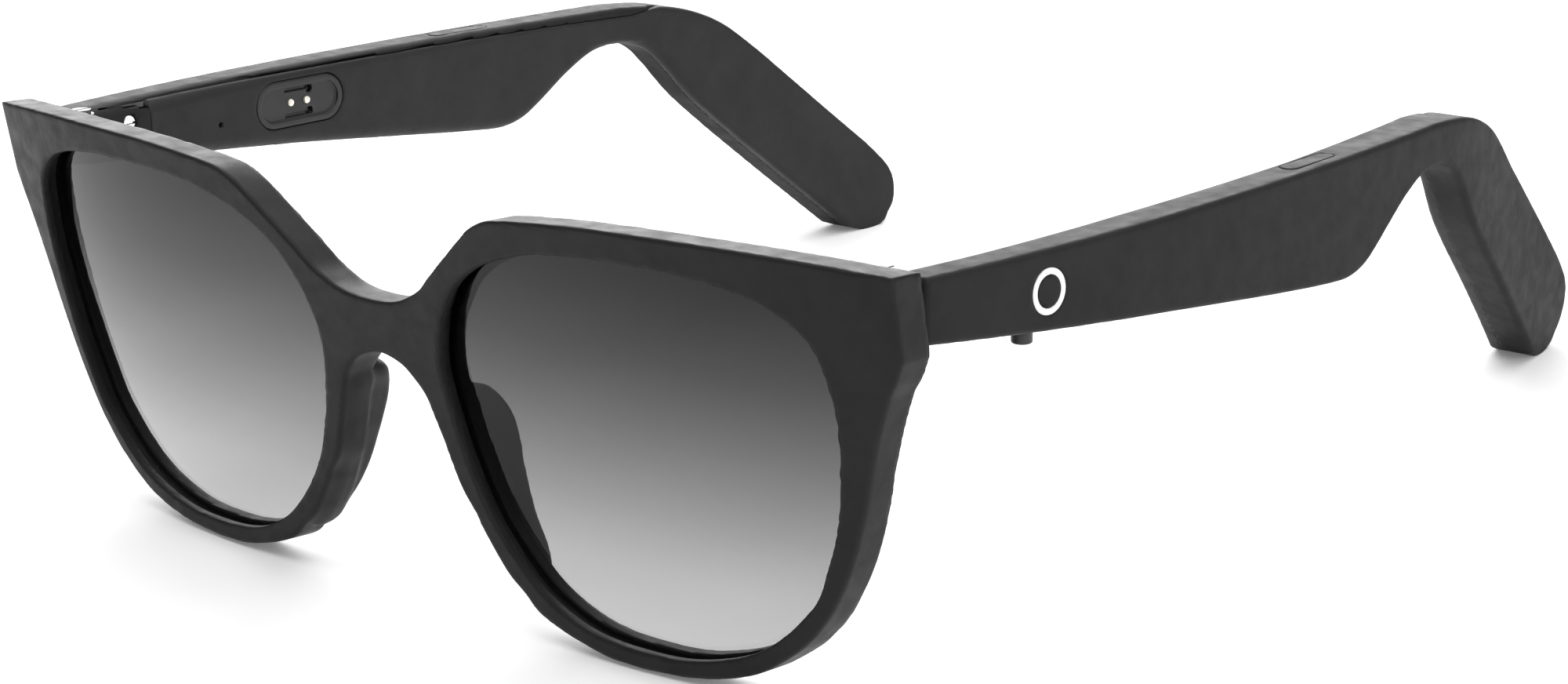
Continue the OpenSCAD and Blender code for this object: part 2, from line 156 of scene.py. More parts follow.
def box_field(p, low, high):
    """Distance to a box given by two corners."""
    low, high = np.asarray(low, float), np.asarray(high, float)
    mid, half = (low + high) / 2, (high - low) / 2
    q = [np.abs(p[i] - mid[i]) - half[i] for i in range(3)]
    out = np.sqrt(sum(np.maximum(c, 0) ** 2 for c in q))
    return out + np.minimum(np.maximum(np.maximum(q[0], q[1]), q[2]), 0)


def contour(field, lo, hi, step=STEP):
    """Mesh of field(x, y, z) = 0 by dual contouring, which keeps corners crisp.

    Returns points, quads and normals."""
    lo = np.asarray(lo, float)
    n = np.ceil((np.asarray(hi, float) - lo) / step).astype(int) + 1
    ax = [lo[i] + step * np.arange(n[i]) for i in range(3)]
    F = np.empty(n, np.float32)
    for i in range(0, n[0], BLOCK):
        F[i:i + BLOCK] = field(*np.meshgrid(ax[0][i:i + BLOCK], ax[1], ax[2], indexing="ij"))
    neg = F < 0
    cells = n - 1

    def gradient(p, e):
        g = np.empty_like(p)
        for k in range(3):
            a, b = p.copy(), p.copy()
            a[:, k] += e
            b[:, k] -= e
            g[:, k] = field(*a.T) - field(*b.T)
        return g / np.maximum(np.linalg.norm(g, axis=1, keepdims=True), 1e-9)

    ids, pos, nor, quads = [], [], [], []
    for k in range(3):
        u, v = (k + 1) % 3, (k + 2) % 3
        sl0 = [slice(None)] * 3
        sl1 = [slice(None)] * 3
        sl0[k], sl1[k] = slice(0, -1), slice(1, None)
        for q in (u, v):
            sl0[q] = sl1[q] = slice(1, -1)
        a, b = neg[tuple(sl0)], neg[tuple(sl1)]
        idx = np.argwhere(a != b)
        if not len(idx):
            continue
        idx[:, u] += 1
        idx[:, v] += 1
        end = idx.copy()
        end[:, k] += 1
        f0, f1 = F[tuple(idx.T)].astype(float), F[tuple(end.T)].astype(float)
        p0 = lo + idx * step
        t0, t1 = np.zeros(len(idx)), np.ones(len(idx))
        t = f0 / (f0 - f1)
        for _ in range(3):
            p = p0.copy()
            p[:, k] += t * step
            f = field(*p.T)
            low_side = (f < 0) == (f0 < 0)
            t0, f0 = np.where(low_side, t, t0), np.where(low_side, f, f0)
            t1, f1 = np.where(low_side, t1, t), np.where(low_side, f1, f)
            d = f0 - f1
            steep = np.abs(d) > 1e-9
            t = np.where(steep, t0 + (t1 - t0) * f0 / np.where(steep, d, 1), (t0 + t1) / 2)
        p = p0.copy()
        p[:, k] += t * step
        g = gradient(p, PROBE)
        around = []
        for du, dv in ((0, 0), (-1, 0), (-1, -1), (0, -1)):
            c = idx.copy()
            c[:, u] += du
            c[:, v] += dv
            flat = (c[:, 0] * cells[1] + c[:, 1]) * cells[2] + c[:, 2]
            around.append(flat)
            ids.append(flat)
            pos.append(p)
            nor.append(g)
        quad = np.stack(around, 1)
        flip = ~a[tuple((idx - np.eye(3, dtype=int)[u] - np.eye(3, dtype=int)[v]).T)]
        quad[flip] = quad[flip][:, ::-1]
        quads.append(quad)
    ids, pos, nor = np.concatenate(ids), np.concatenate(pos), np.concatenate(nor)
    quads = np.concatenate(quads)
    used, inv = np.unique(ids, return_inverse=True)
    m = len(used)

    def total(w):
        return np.bincount(inv, w, m)

    count = total(np.ones(len(inv)))
    centre = np.stack([total(pos[:, k]) for k in range(3)], 1) / count[:, None]
    rel = pos - centre[inv]
    along = (nor * rel).sum(1)
    A = np.empty((m, 3, 3))
    B = np.empty((m, 3))
    for i in range(3):
        B[:, i] = total(nor[:, i] * along)
        for j in range(i, 3):
            A[:, i, j] = A[:, j, i] = total(nor[:, i] * nor[:, j])
    A += np.eye(3) * STIFF
    vert = centre + np.linalg.solve(A, B[:, :, None])[:, :, 0]
    cell = np.stack(np.unravel_index(used, cells), 1)
    vert = np.clip(vert, lo + cell * step, lo + (cell + 1) * step)
    quads = np.searchsorted(used, quads)
    return vert, quads, gradient(vert, SHADE_PROBE)


def make_mesh(name, verts, faces, normals=None):
    """An object from points in millimetres, and faces as a list of loops or an array of quads."""
    me = bpy.data.meshes.new(name)
    verts = np.asarray(verts, np.float32) * MM
    if isinstance(faces, list):
        me.from_pydata([tuple(v) for v in verts], [], [tuple(int(i) for i in f) for f in faces])
    else:
        size = faces.shape[1]
        me.vertices.add(len(verts))
        me.vertices.foreach_set("co", verts.ravel())
        me.loops.add(faces.size)
        me.loops.foreach_set("vertex_index", faces.ravel().astype(np.int32))
        me.polygons.add(len(faces))
        me.polygons.foreach_set("loop_start", (np.arange(len(faces)) * size).astype(np.int32))
        me.update(calc_edges=True)
    me.validate()
    me.polygons.foreach_set("use_smooth", np.full(len(me.polygons), True))
    if normals is not None and len(me.vertices) == len(normals):
        me.normals_split_custom_set_from_vertices([tuple(n) for n in normals])
    ob = bpy.data.objects.new(name, me)
    bpy.context.scene.collection.objects.link(ob)
    return ob


# ---- places ----
def to_row(p):
    """From millimetres behind the foot of the front to millimetres in the row frame."""
    return p - np.array([0, ORIGIN_Y, 0])


def temple_to_row(p, sign):
    """From the temple's frame, at its hinge, to the row frame. sign: 1 left, -1 right."""
    c, s = math.cos(PITCH), math.sin(PITCH)
    q = np.stack([p[:, 0], p[:, 1] * c + p[:, 2] * s, -p[:, 1] * s + p[:, 2] * c], 1)
    q = q + HINGE
    q[:, 0] *= sign
    return to_row(q)


def temple_dirs(n, sign):
    """The same for directions."""
    return temple_to_row(n, sign) - temple_to_row(np.zeros((1, 3)), sign)


def temple_piece(name, mesh, sign):
    """A piece given in the temple's frame, mirrored for the right temple."""
    verts, faces, normals = mesh
    v = temple_to_row(np.asarray(verts, float), sign)
    if normals is not None:
        normals = temple_dirs(np.asarray(normals, float), sign)
    if sign < 0:
        faces = [f[::-1] for f in faces] if isinstance(faces, list) else faces[:, ::-1]
    return make_mesh(name, v, faces, normals)


# ---- materials ----
def nodes_of(owner, output="ShaderNodeOutputMaterial"):
    """The emptied node tree of a material or world, and its new output."""
    owner.use_nodes = True
    nt = owner.node_tree
    nt.nodes.clear()
    return nt, nt.nodes.new(output)


def noise(nt, scale, detail):
    tc = nt.nodes.new("ShaderNodeTexCoord")
    no = nt.nodes.new("ShaderNodeTexNoise")
    no.inputs["Scale"].default_value = scale
    no.inputs["Detail"].default_value = detail
    no.inputs["Roughness"].default_value = 0.55
    nt.links.new(tc.outputs["Object"], no.inputs["Vector"])
    return no


def ramp(nt, fac, stops):
    """Colour ramp over stops (place, grey or colour)."""
    r = nt.nodes.new("ShaderNodeValToRGB")
    e = r.color_ramp.elements
    while len(e) < len(stops):
        e.new(0.5)
    for el, (at, col) in zip(e, stops):
        el.position = at
        el.color = (*col, 1) if isinstance(col, tuple) else (col, col, col, 1)
    nt.links.new(fac, r.inputs["Fac"])
    return r


def math_node(nt, operation, *values):
    n = nt.nodes.new("ShaderNodeMath")
    n.operation = operation
    for i, v in enumerate(values):
        if isinstance(v, (int, float)):
            n.inputs[i].default_value = v
        else:
            nt.links.new(v, n.inputs[i])
    return n.outputs[0]


CLOUD, PATCH = 190, 420    # noise scales: slow drifts of colour, and of gloss


def plastic(name, dark, light, rough=(0.42, 0.55), specular=0.5, grain=0.00002, grain_scale=5200,
            metallic=0.0, coat=0.0):
    """A moulded or coated surface: slightly uneven colour and gloss, and a fine grain."""
    mat = bpy.data.materials.new(name)
    nt, out = nodes_of(mat)
    b = nt.nodes.new("ShaderNodeBsdfPrincipled")
    b.inputs["Specular IOR Level"].default_value = specular
    b.inputs["Metallic"].default_value = metallic
    b.inputs["Coat Weight"].default_value = coat
    nt.links.new(b.outputs["BSDF"], out.inputs["Surface"])
    cloud = noise(nt, CLOUD, 4)
    colour = ramp(nt, cloud.outputs["Fac"], [(0.3, dark), (0.7, light)])
    nt.links.new(colour.outputs["Color"], b.inputs["Base Color"])
    patch = noise(nt, PATCH, 2)
    gloss = ramp(nt, patch.outputs["Fac"], [(0.3, rough[0]), (0.7, rough[1])])
    nt.links.new(gloss.outputs["Color"], b.inputs["Roughness"])
    fine = noise(nt, grain_scale, 2)
    bump = nt.nodes.new("ShaderNodeBump")
    bump.inputs["Strength"].default_value = 1.0
    bump.inputs["Distance"].default_value = grain
    nt.links.new(fine.outputs["Fac"], bump.inputs["Height"])
    nt.links.new(bump.outputs["Normal"], b.inputs["Normal"])
    return mat


# light that each face of a lens lets through, from its bottom to its top
LENS_TINT = [(0.0, 0.69), (0.07, 0.668), (0.19, 0.605), (0.37, 0.465), (0.56, 0.333), (0.74, 0.212),
             (0.93, 0.12), (1.0, 0.1)]
LENS_LOW, LENS_HIGH = 2 * MM, 48 * MM  # heights where the tint starts and ends


def lens_glass(name):
    """Tinted glass, dark at the top and clearing towards the bottom."""
    mat = bpy.data.materials.new(name)
    nt, out = nodes_of(mat)
    tc = nt.nodes.new("ShaderNodeTexCoord")
    sep = nt.nodes.new("ShaderNodeSeparateXYZ")
    nt.links.new(tc.outputs["Object"], sep.inputs["Vector"])
    m = nt.nodes.new("ShaderNodeMapRange")
    m.inputs["From Min"].default_value = LENS_LOW
    m.inputs["From Max"].default_value = LENS_HIGH
    nt.links.new(sep.outputs["Z"], m.inputs["Value"])
    tint = ramp(nt, m.outputs["Result"], LENS_TINT)
    clear = nt.nodes.new("ShaderNodeBsdfTransparent")
    nt.links.new(tint.outputs["Color"], clear.inputs["Color"])
    gloss = nt.nodes.new("ShaderNodeBsdfGlossy")
    gloss.inputs["Roughness"].default_value = 0.02
    gloss.inputs["Color"].default_value = (1, 1, 1, 1)
    facing = nt.nodes.new("ShaderNodeLayerWeight")
    facing.inputs["Blend"].default_value = 0.5
    steep = math_node(nt, "POWER", facing.outputs["Facing"], 5.0)
    share = math_node(nt, "MULTIPLY_ADD", steep, 0.9, 0.022)
    geo = nt.nodes.new("ShaderNodeNewGeometry")
    outside = math_node(nt, "SUBTRACT", 1.0, geo.outputs["Backfacing"])
    fac = math_node(nt, "MULTIPLY", share, outside)
    mix = nt.nodes.new("ShaderNodeMixShader")
    nt.links.new(fac, mix.inputs["Fac"])
    nt.links.new(clear.outputs["BSDF"], mix.inputs[1])
    nt.links.new(gloss.outputs["BSDF"], mix.inputs[2])
    nt.links.new(mix.outputs["Shader"], out.inputs["Surface"])
    return mat


MATS = {
    "frame": plastic("frame_plastic", 0.013, 0.017, specular=0.14),
    "temple": plastic("temple_plastic", 0.022, 0.027, specular=0.04),
    "cover": plastic("cover_plastic", 0.024, 0.030, rough=(0.46, 0.6), specular=0.14),
    "port": plastic("port_plastic", 0.010, 0.016, rough=(0.38, 0.5), grain=0.000008),
    "button": plastic("button_rubber", 0.014, 0.02, rough=(0.35, 0.5), grain=0.00001),
    "emblem": plastic("emblem_paint", 0.80, 0.88, rough=(0.35, 0.5), grain=0.000004),
    "contact": plastic("contact_plating", (0.86, 0.82, 0.70), (0.95, 0.92, 0.84), rough=(0.2, 0.34),
                       metallic=0.35, grain=0.000003),
    "steel": plastic("hinge_steel", 0.06, 0.10, rough=(0.28, 0.42), metallic=0.9, grain=0.000004),
    "chrome": plastic("screw_chrome", 0.70, 0.82, rough=(0.08, 0.18), metallic=1.0, grain=0.000002),
    "board": plastic("board_mask", (0.01, 0.09, 0.035), (0.015, 0.13, 0.05), rough=(0.25, 0.4), coat=0.3),
    "foil": plastic("battery_foil", 0.42, 0.58, rough=(0.3, 0.45), metallic=0.8, grain=0.00003),
    "film": plastic("flex_film", (0.42, 0.19, 0.03), (0.55, 0.26, 0.05), rough=(0.2, 0.35), coat=0.4),
    "speaker": plastic("speaker_can", 0.03, 0.05, rough=(0.35, 0.5), metallic=0.3),
    "nickel": plastic("nickel_plate", 0.45, 0.58, rough=(0.2, 0.3), metallic=0.95, grain=0.000003),
    "moulded": plastic("switch_moulded", 0.5, 0.6, rough=(0.4, 0.5)),
    "lens": lens_glass("lens_tint"),
}


def finish_piece(ob, mat, body, slot, *replaced):
    """Gives a piece its material and body, and hides the CAD nodes that it stands in for."""
    ob.data.materials.clear()
    ob.data.materials.append(MATS[mat])
    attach(ob, body)
    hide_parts(*replaced)


# ---- the front ----
FALL = 0.11            # the front's walls fall by this much for each millimetre they run back
PLATE = 4.1            # thickness of the front
CORNER = 72.5          # half the width across the upper corners
LENS_FRONT, LENS_BACK = 2.2, 3.6       # depths of the lens's faces behind the front face
LENS_GRIP = 0.75       # the lens reaches this far past the opening's edge, into its groove
GROOVE_FRONT, GROOVE_BACK, GROOVE_DEEP = 1.15, 2.6, 0.9
SEAT = ((-2.3, -5.05, -2.7), (3.3, 3, 2.7))     # room for the hinge, from its centre
FRONT_EDGE, BACK_EDGE = 0.5, 0.25      # rounding of the front's outer edges
HOLE_EDGE, HOLE_BACK_EDGE = 0.35, 0.1  # and of the edges round the lenses
PAD_LEAN = 0.1         # the pads spread by this much for each millimetre they run back
PAD_FROM = 1.5         # they start this far inside the front
PAD_EDGE, PAD_CREASE = 1.3, 1.6        # rounding of the pads, and the fill where they meet the front
BRIDGE_TOP = smooth([[0, 37.3], [2.5, 37.42], [4.9, 37.9], [6.9, 38.75], [8.9, 39.95], [11.8, 42.55],
                     [15.5, 45.7], [18.6, 48.25], [20.4, 49.4], [22.4, 50.2], [25.3, 50.65]])
BROW = smooth([[30, 51.1], [34.6, 51.42], [39, 51.57], [45, 51.68], [51, 51.63], [58.3, 51.4], [65, 50.92],
               [68.2, 50.55], [CORNER, 49.95]])
RIM = smooth([[CORNER, 41.1], [71.5, 38.75], [70.4, 36.6], [68.75, 31.7], [66.9, 25.4], [65.5, 21],
              [64.05, 17.2], [62.4, 13.8], [60.2, 10.3], [57.4, 7.2], [54.4, 4.9], [51.2, 3.0],
              [47.2, 1.65], [42.6, 0.8], [38.5, 0.5], [35, 0.42], [30.7, 0.7], [27.5, 1.35], [24.2, 2.3],
              [20.9, 3.7], [18.9, 5.5], [16.3, 7.65], [13.2, 12.05], [12.35, 13.75], [10.45, 16.5],
              [8.8, 21.2], [7.3, 25.5], [6.5, 27.25], [5.45, 28.5], [4.5, 29.4], [3.4, 30.1],
              [2.2, 30.55], [1, 30.85], [0, 30.95]])
APERTURE = ring([[64.8, 31.9], [63.6, 23], [61.6, 17], [58.95, 11.75], [52.3, 5.9], [43.9, 2.95], [35.7, 2.4],
                 [28.3, 3.15], [22.3, 5.7], [18.4, 9.1], [15.1, 13.2], [13.05, 17.2], [11.35, 22.2],
                 [10.15, 28.2], [10.1, 32], [11.3, 36], [12.3, 38], [14.6, 41.1], [18.2, 43.8],
                 [22.4, 45.6], [28.5, 47.25], [36.8, 48], [43.8, 48.05], [49.3, 47.75], [54.4, 47],
                 [59.1, 45.4], [62.9, 42.2], [64.45, 37.3]])
front_field = Outline(np.concatenate([BRIDGE_TOP, BROW, RIM, [[-6, 30.95], [-6, 37.3]]]))
aperture_field = Outline(APERTURE)
pad_field = Outline(ring([[7.2, 25.6], [8.6, 27.6], [9.8, 26], [10.9, 21.6], [12.1, 16.9], [14.3, 12],
                          [17.3, 8.0], [18.2, 5.1], [16.1, 6.9], [12.9, 11.8], [10.9, 16.5], [8.6, 22.4]]))
pad_side = Outline(ring([[-2, 4], [3.4, 4.4], [5.7, 8.5], [6.6, 12.6], [7.2, 16.5], [7.6, 21], [7, 24],
                         [5.0, 26.8], [1, 29.3], [-4, 30.5], [-4, 5]]))
# the front face's curve: its upright line in the middle, how that changes sideways, and the wrap
FACE = (-0.776, 0.671, -5.36, 1.594, -6.448, 5.281, 5.798)
WIDE, TALL = 70, 50    # the curve's units across and up


def face_y(x, z):
    """The front face's distance behind the foot of the front."""
    p, q = (x / WIDE) ** 2, z / TALL
    a0, a1, a2, b0, b1, b2, c = FACE
    return a0 + a1 * q + a2 * q * q + p * (b0 + b1 * q + b2 * q * q) + c * p * p


def face_stretch(x, z):
    """Distance along y for one millimetre square to the face."""
    p, q = (x / WIDE) ** 2, z / TALL
    a0, a1, a2, b0, b1, b2, c = FACE
    sx = 2 * x / WIDE ** 2 * (b0 + b1 * q + b2 * q * q + 2 * c * p)
    sz = (a1 + 2 * a2 * q + p * (b1 + 2 * b2 * q)) / TALL
    return np.sqrt(1 + sx * sx + sz * sz)


def front(x, y, z):
    """The front: rim, bridge and nose pads, less the openings, lens grooves and hinge rooms."""
    ax = np.abs(x)
    back = y - face_y(ax, z)
    t = back / face_stretch(ax, z)
    zz = z + back * FALL
    rim = front_field(ax, zz)
    hole = -aperture_field(ax, zz) - 0.3 * fade(t, 1.2, 3.7) * fade(zz, 12, 4)
    crisp = fade(ax, 69, 71)                                  # the end faces have sharper edges
    low = fade(zz, 40, 36)
    rim = rim - 0.12 * low - 0.08 * crisp
    thin = 0.3 * low * fade(ax, 45, 55) * fade(zz, 22, 28)    # the rim is thinner beside the cheek
    thick = 0.35 * fade(ax, 30, 20) * fade(zz, 36, 39)        # and thicker over the nose
    plate = both(both(rim, -t, FRONT_EDGE - 0.2 * crisp), t - (PLATE - thin + thick), BACK_EDGE)
    pad = both(pad_field(ax - PAD_LEAN * back, z), both(pad_side(y, z), PAD_FROM - t, 0.3), PAD_EDGE)
    body = merge(plate, pad, PAD_CREASE)
    body = both(body, hole, np.where(t < 1.5, HOLE_EDGE, HOLE_BACK_EDGE))
    groove = np.maximum(-(hole + GROOVE_DEEP), np.abs(t - (GROOVE_FRONT + GROOVE_BACK) / 2)
                        - (GROOVE_BACK - GROOVE_FRONT) / 2)
    body = np.maximum(body, -groove)
    cp, sp = math.cos(PITCH), math.sin(PITCH)
    dy, dz = y - HINGE[1], z - HINGE[2]
    q = (ax - HINGE[0], dy * cp - dz * sp, dy * sp + dz * cp)
    return np.maximum(body, -box_field(q, *SEAT))


verts, faces, normals = contour(front, (-73.6, -6.6, -0.8), (73.6, 10.4, 52.8))
front_shell = make_mesh("frame_front", to_row(verts), faces, normals)
finish_piece(front_shell, "frame", "front", "frame", "front_frame")


def grow(poly, d):
    """A closed clockwise line moved outwards by d."""
    t = np.roll(poly, -1, axis=0) - np.roll(poly, 1, axis=0)
    t /= np.linalg.norm(t, axis=1, keepdims=True)
    return poly + d * np.stack([-t[:, 1], t[:, 0]], 1)


def lens_mesh(rings=26):
    """A lens as rings of points from its rim to its middle, on the face and on the back."""
    edge = grow(APERTURE, LENS_GRIP)
    middle = edge.mean(0)
    n = len(edge)
    verts = []
    scale = np.concatenate([[1.0], np.linspace(0.993, 0.02, rings)])
    for deep, bevel in ((LENS_FRONT, 0.2), (LENS_BACK, -0.2)):
        for i, s in enumerate(scale):
            p = middle + (edge - middle) * s
            x, z = p[:, 0], p[:, 1]
            back = (deep + (bevel if i == 0 else 0)) * face_stretch(x, z)
            z = z - back * FALL
            verts.append(np.stack([x, face_y(x, z) + back, z], 1))
    m = len(scale)
    base = len(verts) * n
    centre = [verts[g + m - 1].mean(0) for g in (0, m)]
    v = np.concatenate([np.concatenate(verts), np.array(centre)])
    f = []
    for g in (0, 1):
        for i in range(m - 1):
            for j in range(n):
                k = (j + 1) % n
                a, b = (g * m + i) * n, (g * m + i + 1) * n
                quad = (a + j, a + k, b + k, b + j)
                f.append(quad if g == 0 else quad[::-1])
        last = (g * m + m - 1) * n
        for j in range(n):
            k = (j + 1) % n
            tri = (last + j, last + k, base + g)
            f.append(tri if g == 0 else tri[::-1])
    for j in range(n):
        k = (j + 1) % n
        f.append((j, m * n + j, m * n + k, k))
    return v, f


lens_v, lens_f = lens_mesh()
for side, sign in SIDES:
    v = lens_v * np.array([sign, 1, 1])
    ob = make_mesh(f"lens_tinted_{side}", to_row(v), [q[::-1] for q in lens_f] if sign > 0 else lens_f)
    ob.data.set_sharp_from_angle(angle=math.radians(35))
    finish_piece(ob, "lens", "front", "lens", f"lens_{side}")

# ---- the temples ----
TOP = 3.4              # height of the upper edge over the hinge's centre
top_edge = smooth([[97, 3.55], [104.4, 2.95], [110.5, 1.5], [116, -1.05], [121.7, -5.35]])
hook_tip = smooth([[142.9, -22.7], [146.7, -26.5], [147.9, -29.5], [147.3, -32.7], [144.9, -35],
                   [141.5, -35.95], [137.8, -34.9]])
arch = smooth([[116.8, -17.3], [110, -11.2], [105.1, -5.6], [102.1, -2.9], [98.6, -1.6], [94.6, -1.5],
               [91, -2.4], [86.6, -4.75], [81.6, -8.2], [78.6, -10], [75.6, -10.85], [72.1, -10.9],
               [64, -10.2]])
underside = [[39, -7.6], [25, -6.3], [13, -5.2], [-0.3, -3.95]]
temple_line = np.concatenate([top_edge, hook_tip, arch, underside, [[-0.3, TOP - 0.55]]])
COVER_FROM = 11.4      # where the inner cover starts
cover_line = np.concatenate([
    [[COVER_FROM, TOP - 1], [84, TOP - 1], [98, TOP - 1.15]], top_edge[top_edge[:, 0] > 106] + [0.3, 0.5],
    [p for p in grow(temple_line, 1.5) if p[0] > 60 and p[1] < -1], [[10, -6.5], [COVER_FROM, -6.5]]])
inner_line = grow(temple_line, -1.3)
pocket_line = np.concatenate([
    [[13.2, TOP - 1.3], [97, TOP - 1.3]], [p for p in inner_line if p[0] > 100],
    [p for p in inner_line if 66 < p[0] < 100 and p[1] < 0], [[64, -9.1], [13.2, -3.62]]])
temple_field = Outline(temple_line)
cover_field = Outline(cover_line)
pocket_field = Outline(pocket_line)
T_THICK, COVER_T = 6.0, 1.25           # thickness of a temple and of its cover
WALL = 1.0                             # and of the outer wall
OUTER_EDGE, INNER_EDGE, ARM_SOFT = 0.7, 0.8, 1.1    # rounding, and how much softer the arm is inside
BARREL_R = 2.05                        # room round the hinge's knuckles
WEB = ((-3, -2, -8), (1.45, 0.6, 8))   # and inwards of them
LEAF = ((1.4, -1, -2.35), (2.55, 11.05, 2.35))      # slot for the temple's hinge leaf
SCREW_Y, SCREW_R = 7.8, 1.15           # hole for the leaf's screw
BUTTON = (4.2, 16.7)                   # x and y of the power button's axis
BUTTON_R, BUTTON_HOLE_R = 1.15, 1.25
FLANGE_R, FLANGE_LOW, FLANGE_HIGH = 1.6, -4.0, -3.5
BUTTON_END = -7.4
TOUCH_X, TOUCH_Y, TOUCH_L, TOUCH_W = 4.85, 68.9, 10, 2.2     # the touch pad's middle, length and width
TOUCH_TURN = math.radians(2.9)         # it follows the bow of the temple
TOUCH_LOW = 2.55
SPEAKER_SLOT = (72.6, 4.6, 6, 1.2)     # y and x of its middle, length and width
EMBLEM_Y, EMBLEM_Z, EMBLEM_R = 17.2, -1.5, 2.15
PORT = (37.6, -1.8, 15.4, 6.6)         # y and z of its middle, length and height
MIC, MIC_R = (23.5, -2.8), 0.4
BOW_AT = 41.4                          # the temple is furthest out here
BOW_OUT = 8.4


def bow(s):
    """Sideways place of the outer face at a distance along the temple."""
    k = np.where(s > BOW_AT, 1 / 1066, 1 / 570)
    return BOW_OUT - (s - BOW_AT) ** 2 * k, -2 * (s - BOW_AT) * k


def across_hook(y, z):
    """Distance from the hook's front edge towards its back edge."""
    return (y - BEND[0]) * math.sin(HOOK) + (z - BEND[1]) * math.cos(HOOK)


def inset(x, y, z):
    """Depth inside the outer face, square to it. The hooks lean inwards, most at their back edge."""
    along = BEND[0] + (y - BEND[0]) * math.cos(HOOK) - (z - BEND[1]) * math.sin(HOOK)
    s = np.where(y > ARM_END, np.maximum(y, along), y)
    out, slope = bow(s)
    lean = (0.9 - 0.8 * fade(along, 132, 150)) * fade(across_hook(y, z), 0, 11)
    out = out - (0.3 + lean) * fade(along, 100, 120)
    return (out - x) / np.sqrt(1 + slope * slope)


def temple_body(x, y, z):
    """The whole temple with its hook, softened more along its inner edges than its outer ones."""
    d = inset(x, y, z)
    across = across_hook(y, z)
    hooked = fade(y, 95, 103)                                 # 0 on the arm, 1 on the hook
    under = np.clip(((1 - z) * (1 - hooked) + (5 - across) * hooked) / 1.5, 0, 1)
    edge = temple_field(y, z) - (0.24 + 0.2 * fade(y, 72, 84)) * under
    low = fade(z, 0, -2)
    soft = np.clip((98 + 14 * low - y) / (30 - 16 * low), 0, 1)
    softer = 0.8 * fade(y, 34, 10) * fade(z, 0, 1)
    thick = T_THICK + 0.5 * hooked * fade(across, 8, 0)
    inner = INNER_EDGE + ARM_SOFT * soft + softer
    return both(both(edge, -d, OUTER_EDGE + 0.1 * low), d - thick, inner)


def pill(u, v, l, w):
    """Distance to a pill lying along u."""
    return np.hypot(np.maximum(np.abs(u) - (l - w) / 2, 0), v) - w / 2


def tube(u, v, r):
    """Distance to a round bar."""
    return np.hypot(u, v) - r


def button_hole(x, y, z):
    """The hole in the underside that the power button runs in."""
    return np.maximum(tube(x - BUTTON[0], y - BUTTON[1], BUTTON_HOLE_R), z + 2)


def touch_pill(x, y, spare=0.0):
    """Distance to the touch pad's outline, which follows the upper edge."""
    u, v = y - TOUCH_Y, x - TOUCH_X
    c, s = math.cos(TOUCH_TURN), math.sin(TOUCH_TURN)
    return pill(u * c - v * s, v * c + u * s, TOUCH_L + spare, TOUCH_W + spare)


def shell(x, y, z):
    """The temple's outer shell: hollow, open inwards, with room for the hinge and the trim."""
    body, d = temple_body(x, y, z), inset(x, y, z)
    cuts = [
        np.maximum(cover_field(y, z) - 0.12, T_THICK - COVER_T - d),
        np.maximum(pocket_field(y, z), WALL - d),
        np.maximum(tube(x, y, BARREL_R), np.abs(z) - 8),
        box_field((x, y, z), *WEB),
        box_field((x, y, z), *LEAF),
        np.maximum(tube(y - SCREW_Y, z, SCREW_R), x - 1.6),
        button_hole(x, y, z),
        np.maximum(touch_pill(x, y, 0.16), 2.5 - z),
        np.maximum(pill(y - SPEAKER_SLOT[0], x - SPEAKER_SLOT[1], *SPEAKER_SLOT[2:]), z + 8.5),
        np.maximum(np.abs(tube(y - EMBLEM_Y, z - EMBLEM_Z, EMBLEM_R)) - 0.42, d - 0.25),
    ]
    for cut in cuts:
        body = np.maximum(body, -cut)
    return body


def cover(x, y, z):
    """The inner cover, with the port's opening and the microphone's hole."""
    body, d = temple_body(x, y, z), inset(x, y, z)
    body = both(np.maximum(body, T_THICK - COVER_T - 0.25 - d), cover_field(y, z), 0.12)
    body = both(body, -pill(y - PORT[0], z - PORT[1], *PORT[2:]), 0.15)
    mic = tube(y - MIC[0], z - MIC[1], MIC_R)
    return np.maximum(np.maximum(body, -mic), -button_hole(x, y, z))


T_LO, T_HI = (-11.4, -1.2, -37.2), (9.4, 149.8, 4.6)
shell_mesh = contour(shell, T_LO, T_HI)
cover_mesh = contour(cover, T_LO, T_HI)


# ---- trim ----
def port_dish(x, y, z):
    """Charging port: a pill with a raised lip, a sunk floor and two slots."""
    u, v = y - PORT[0], z - PORT[1]
    outer = pill(u, v, PORT[2] - 0.16, PORT[3] - 0.16)
    face = inset(x, y, z)
    body = both(both(outer, face - (T_THICK - 0.05), 0.3), 4.2 - face, 0.05)
    dish = both(pill(u, v, PORT[2] - 2.0, PORT[3] - 2.0), (T_THICK - 0.4) - face, 0.15)
    body = np.maximum(body, -dish)
    for s in (1, -1):
        groove = pill(u, v - s * 1.75, 4.9, 0.5)
        deep = pill(u - 1.9, v - s * 1.45, 1.1, 0.95)
        body = np.maximum(body, -np.maximum(groove, (T_THICK - 0.8) - face))
        body = np.maximum(body, -np.maximum(deep, (T_THICK - 1.3) - face))
    return body


port_mesh = contour(port_dish, (1.6, 29.2, -5.8), (4.8, 46, 2.2), FINE)


